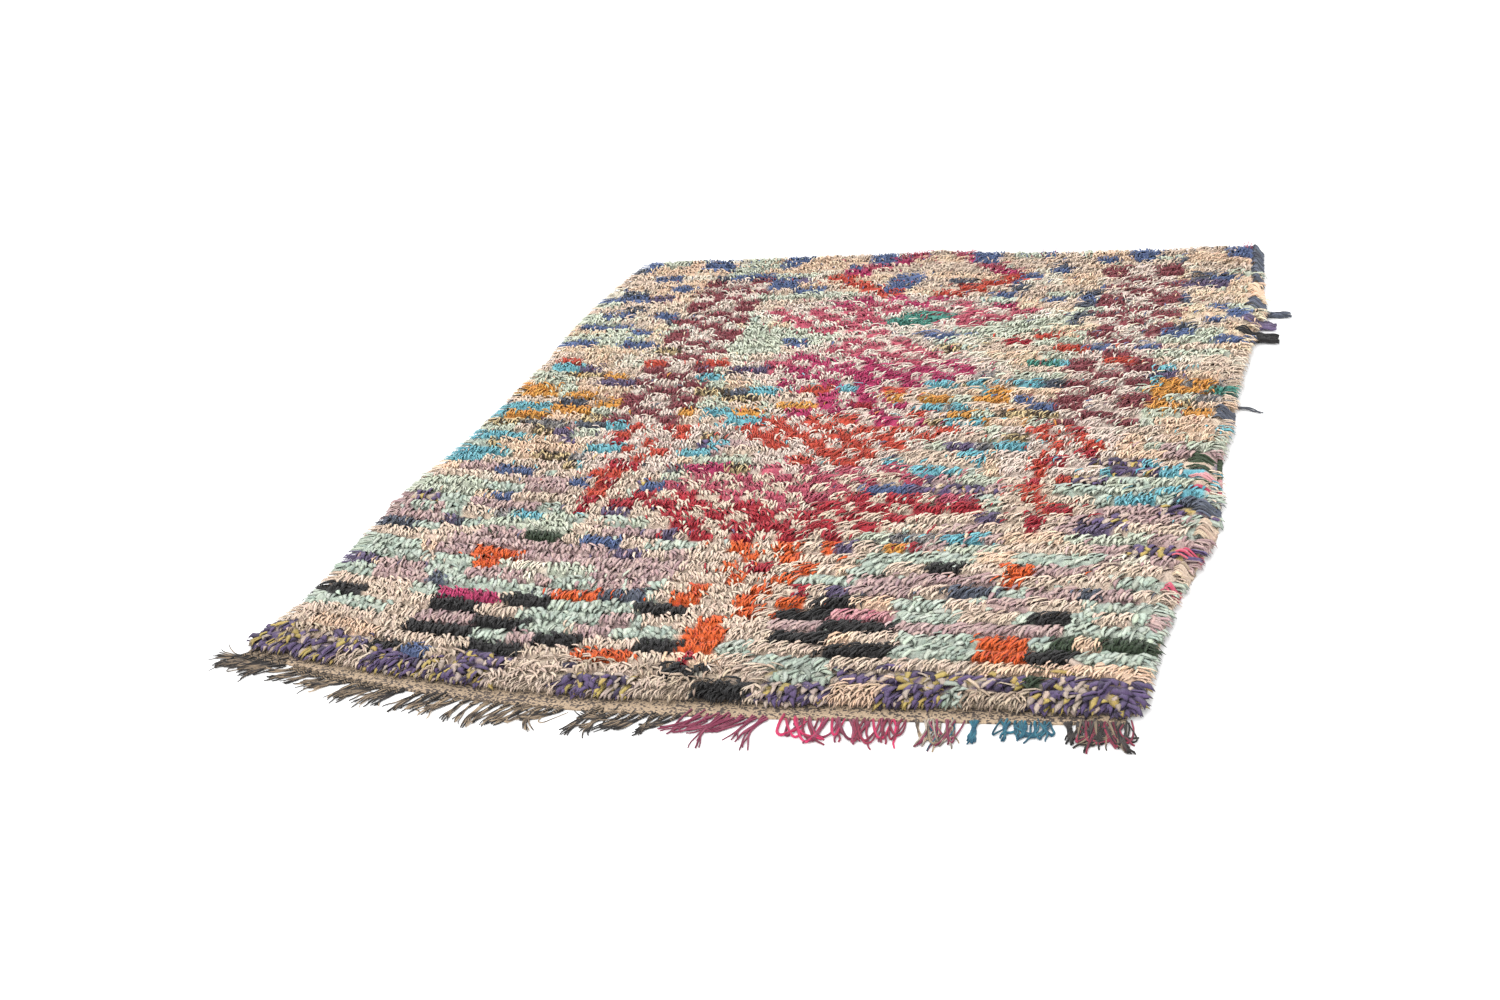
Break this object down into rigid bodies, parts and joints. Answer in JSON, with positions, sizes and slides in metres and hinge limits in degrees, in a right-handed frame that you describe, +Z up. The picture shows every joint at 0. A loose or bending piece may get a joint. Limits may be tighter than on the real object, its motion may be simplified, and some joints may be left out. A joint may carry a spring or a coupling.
{
  "type": "boucherouite rug",
  "caption": "Shaggy rag-pile rug lying flat, with lozenge motifs in many colours, woven end bands and a knotted warp fringe on one end.",
  "frame": {"origin": "on the floor face under the middle of the rug, 0.75 m from its sides", "axes": "+Z up out of the floor, +Y along the rug to its far end without fringe, +X to the right seen from the fringed end"},
  "size_m": [1.6181, 1.8887, 0.0334],
  "materials": {
    "rag_pile": "torn cotton, wool and jersey rags knotted in rows, matt",
    "marled_warp": "handspun wool warp, black and beige plied together",
    "woven_wool": "plain woven wool, matt",
    "overcast_rag": "rag strips and wool overcast around the side warps"
  },
  "bodies": {
    "root": {"pile_field": "rag_pile", "near_fringe": "marled_warp", "far_band": "woven_wool", "side_cord_left": "overcast_rag", "side_cord_right": "overcast_rag"}
  },
  "joints": []
}
